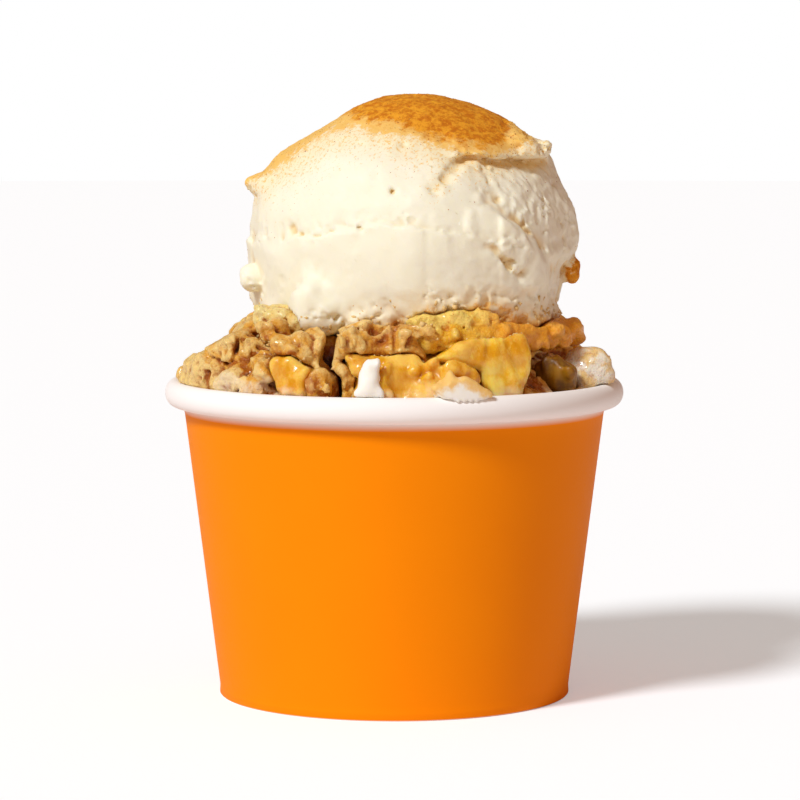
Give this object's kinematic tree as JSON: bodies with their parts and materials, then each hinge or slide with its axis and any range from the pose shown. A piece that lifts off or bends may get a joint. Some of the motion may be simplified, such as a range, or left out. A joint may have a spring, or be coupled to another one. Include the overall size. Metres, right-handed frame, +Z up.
{
  "type": "apple cobbler",
  "caption": "Warm apple cobbler heaped in a paper cup and topped with a scoop of vanilla ice cream dusted with cinnamon.",
  "frame": {"origin": "on the cup's axis, at the height of the surface that the cup stands on", "axes": "+Z up along the cup's axis, -Y to the front that the picture shows, +X to its right"},
  "size_m": [0.0958, 0.0958, 0.1255],
  "materials": {
    "cup_paper": "matt orange print outside, bare white rim and inside",
    "cup_base_paper": "bare white coated paper",
    "ice_cream": "frozen vanilla ice cream, torn at the edges, dusted with cinnamon on top",
    "crumble": "baked golden brown crumble with glossy syrup",
    "apple": "cooked golden apple, translucent and glazed",
    "dark_apple": "cooked olive brown apple, glazed",
    "pastry": "glazed golden brown pastry",
    "batter": "soft pale yellow cobbler batter",
    "melted_cream": "melted vanilla ice cream"
  },
  "bodies": {
    "root": {"cup_wall": "cup_paper", "cup_base": "cup_base_paper", "ice_cream_scoop": "ice_cream", "pastry_strip": "pastry", "apple_wedge_front": "apple", "apple_slice_front": "apple", "apple_piece_left": "apple", "apple_slice_right": "dark_apple", "apple_slice_back_left": "apple", "apple_slice_back": "apple", "apple_slice_back_right": "apple", "apple_piece_side": "apple", "pastry_chunk_left": "batter", "apple_chunk_right": "apple", "ice_cream_drip": "melted_cream", "ice_cream_mound": "melted_cream", "cobbler_bed": "crumble"}
  },
  "joints": []
}
